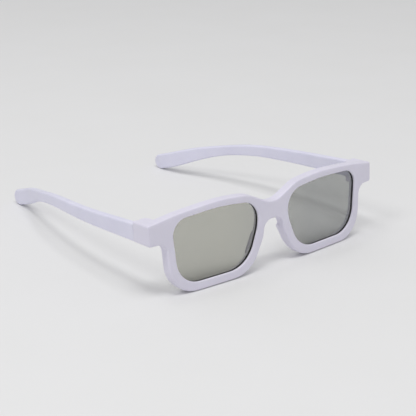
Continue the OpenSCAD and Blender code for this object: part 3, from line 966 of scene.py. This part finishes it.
def templeTree():
    tree, given = newTree("temple", {
        "Thickness": "Float", "Edge Radius": "Float", "Section Points": "Int", "Material": "Material"})
    path = addNode(tree, "GeometryNodeMeshToCurve", links={"Mesh": given["Geometry"]})
    circle = addNode(
        tree, "GeometryNodeCurvePrimitiveCircle", {"Radius": 1.0}, {"Resolution": given["Section Points"]})
    halfStep = addNode(tree, "ShaderNodeCombineXYZ", links={
        "Z": calculate(tree, "DIVIDE", math.pi, given["Section Points"])})
    turned = addNode(tree, "GeometryNodeTransform", links={
        "Geometry": circle.outputs["Curve"], "Rotation": halfStep.outputs[0]})
    section = addNode(
        tree, "GeometryNodeStoreNamedAttribute", {"Name": "section"},
        {"Geometry": turned.outputs[0], "Value": addNode(tree, "GeometryNodeInputPosition").outputs[0]},
        data_type="FLOAT_VECTOR", domain="POINT")
    parts = addNode(tree, "ShaderNodeSeparateXYZ", links={0: named(tree, "section")})
    tall = named(tree, "tall", "FLOAT")
    endShare = named(tree, "endShare", "FLOAT")
    thin = calculate(tree, "MULTIPLY_ADD", endShare, 1 - temple["tipThin"], temple["tipThin"])
    thick = calculate(tree, "MULTIPLY", given["Thickness"], thin)
    most = calculate(
        tree, "MINIMUM", calculate(tree, "MULTIPLY", tall, temple["roundTall"]),
        calculate(tree, "MULTIPLY", thick, temple["roundThick"]))
    radius = calculate(tree, "MINIMUM", given["Edge Radius"], most)
    reach = []
    for full, part in ((thick, parts.outputs["X"]), (tall, parts.outputs["Y"])):
        straight = calculate(tree, "SUBTRACT", calculate(tree, "MULTIPLY", full, 0.5), radius)
        reach.append(calculate(
            tree, "MULTIPLY_ADD", calculate(tree, "SIGN", part), straight,
            calculate(tree, "MULTIPLY", radius, part)))
    arm = sweepAndPlace(
        tree, path.outputs[0], section.outputs[0], named(tree, "across"), named(tree, "up"), *reach, True)
    endTree(tree, arm, given["Material"])
    return tree


def makeTemple(side, tree):
    tipRound = temple["tipHeight"] * temple["tipRound"]
    straight = temple["reach"] - tipRound
    rows = [temple["rootY"] + (straight - temple["rootY"]) * k / temple["stations"]
            for k in range(temple["stations"] + 1)]
    rows += [straight + tipRound * math.sin(math.pi / 2 * k / temple["tipStations"])
             for k in range(1, temple["tipStations"] + 1)]
    shares = [
        math.sqrt(max(temple["tipClosed"], 1 - (max(0, y - straight) / tipRound) ** 2)) for y in rows
    ]
    centre = temple["outerFace"] - temple["thickness"] / 2
    points = [
        (centre - bendOffset(y, temple["inward"]), y,
         temple["rootMid"] - (y - temple["rootY"]) * temple["fall"] - bendOffset(y, temple["downward"]))
        for y in rows
    ]
    arm = pathPiece(side + "Temple", points, False)
    swing = [bendAngle(y, temple["inward"]) for y in rows]
    dive = [math.atan(temple["fall"]) + bendAngle(y, temple["downward"]) for y in rows]
    writeAttribute(arm, "across", "FLOAT_VECTOR", [(math.cos(a), math.sin(a), 0) for a in swing])
    writeAttribute(arm, "up", "FLOAT_VECTOR", [(0, math.sin(a), math.cos(a)) for a in dive])
    writeAttribute(arm, "tall", "FLOAT", [templeHeight(y) * share for y, share in zip(rows, shares)])
    writeAttribute(arm, "endShare", "FLOAT", shares)
    runTree(arm, tree, {
        "Thickness": temple["thickness"], "Edge Radius": temple["edgeRadius"],
        "Section Points": 4 * temple["cornerPoints"], "Material": templeAbs})
    combine(arm, [makeKnuckle(side)], "UNION")
    bore = arcPlan(pin["x"], pin["y"], pin["radius"] + pin["play"])
    reach = knuckle["height"]  # past both ends of the knuckle
    combine(arm, [prism("bore", bore, pin["z"] - reach, pin["z"] + reach)], "DIFFERENCE")
    if sides[side] < 0:
        mirrorOver(arm)
    shade(arm)
    finishPiece(arm, side + "_temple", templeAbs)


knuckle = {
    "radius": 2.6, "height": 4.6, "gussetLength": 8, "softEdge": 0.25,
    "rootDepth": 1.5, "gussetDepth": 0.4,  # how far the web and the gusset go into the temple
}


# Knuckle round the pin, its web back to the temple and the gusset that braces it
def makeKnuckle(side):
    inner = temple["outerFace"] - temple["thickness"]
    root = temple["rootY"]
    plan = arcPlan(pin["x"], pin["y"], knuckle["radius"], 95, 360, 44)
    plan += [
        (pin["x"] + knuckle["radius"], root),
        (inner + knuckle["rootDepth"], root),
        (inner + knuckle["rootDepth"], root + knuckle["gussetLength"]),
        (inner + knuckle["gussetDepth"], root + knuckle["gussetLength"]),
    ]
    low = pin["z"] - knuckle["height"] / 2
    block = prism(side + "Knuckle", plan, low, low + knuckle["height"])
    softenEdges(block, knuckle["softEdge"])
    return block


shapedTemple = templeTree()
for side in sides:
    makeTemple(side, shapedTemple)


# Hinge pins: drawn wire with chamfered, slightly domed ends
pinEnd = {"chamfer": 0.15, "dome": 0.02, "flat": 0.35, "sharpAngle": 50}


def makePin(side):
    chamfer = pinEnd["chamfer"]
    radius = pin["radius"]
    profile = [
        (pinEnd["flat"], pin["low"]), (radius - chamfer, pin["low"] + pinEnd["dome"]),
        (radius, pin["low"] + chamfer), (radius, pin["high"] - chamfer),
        (radius - chamfer, pin["high"] - pinEnd["dome"]), (pinEnd["flat"], pin["high"]),
    ]
    made = bmesh.new()
    rings = []
    for ringRadius, z in profile:
        circle = arcPlan(pin["x"], pin["y"], ringRadius)
        rings.append([made.verts.new((sides[side] * x, y, z)) for x, y in circle])
    for ring, following in zip(rings, rings[1:]):
        for k in range(len(ring)):
            j = (k + 1) % len(ring)
            made.faces.new((ring[k], ring[j], following[j], following[k]))
    made.faces.new(rings[0])
    made.faces.new(rings[-1])
    bmesh.ops.recalc_face_normals(made, faces=made.faces)
    piece = meshPiece(side + "HingePin", made)
    shade(piece, pinEnd["sharpAngle"])
    finishPiece(piece, side + "_hinge_pin", steel)


for side in sides:
    makePin(side)
